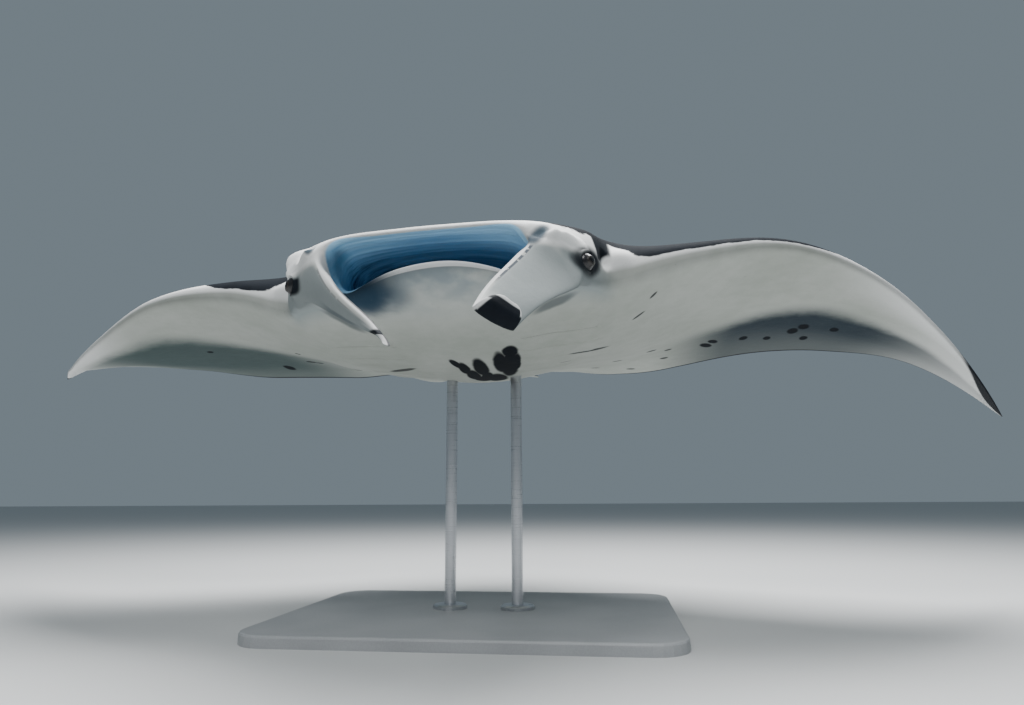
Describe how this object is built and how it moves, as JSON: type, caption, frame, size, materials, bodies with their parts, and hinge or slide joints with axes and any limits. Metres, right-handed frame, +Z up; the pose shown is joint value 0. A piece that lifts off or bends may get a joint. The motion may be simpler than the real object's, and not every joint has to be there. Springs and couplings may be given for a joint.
{
  "type": "reef manta ray",
  "caption": "Life-size reef manta ray in gliding pose, mouth open and cephalic fins unrolled, on a plain stand with upright rods and a flat base.",
  "frame": {"origin": "centre of the stand base's underside, on the floor", "axes": "+X to the ray's left, its head faces -Y, +Z up"},
  "size_m": [3.4172, 2.885, 1.0251],
  "materials": {
    "ray_skin": "smooth satin skin, near-black above with pale shoulder patches, white below with grey rear wing margins and dark belly spots",
    "ray_back": "smooth satin skin, near-black",
    "eye_black": "wet gloss, dark",
    "base_board": "satin grey paint, eased edges",
    "rod_steel": "brushed steel rod with a flange"
  },
  "bodies": {
    "root": {"head": "ray_skin", "trunk_front": "ray_skin", "trunk_rear": "ray_skin", "cephalic_fin_left": "ray_skin", "cephalic_fin_right": "ray_skin", "wing_inner_left": "ray_skin", "wing_inner_right": "ray_skin", "wing_middle_left": "ray_skin", "wing_middle_right": "ray_skin", "wing_outer_left": "ray_skin", "wing_outer_right": "ray_skin", "pelvic_fin_left": "ray_skin", "pelvic_fin_right": "ray_skin", "dorsal_fin": "ray_back", "tail_root": "ray_back", "tail_middle": "ray_back", "tail_end": "ray_back", "eye_left": "eye_black", "eye_right": "eye_black", "stand_base": "base_board", "stand_rod_left": "rod_steel", "stand_rod_right": "rod_steel"}
  },
  "joints": []
}
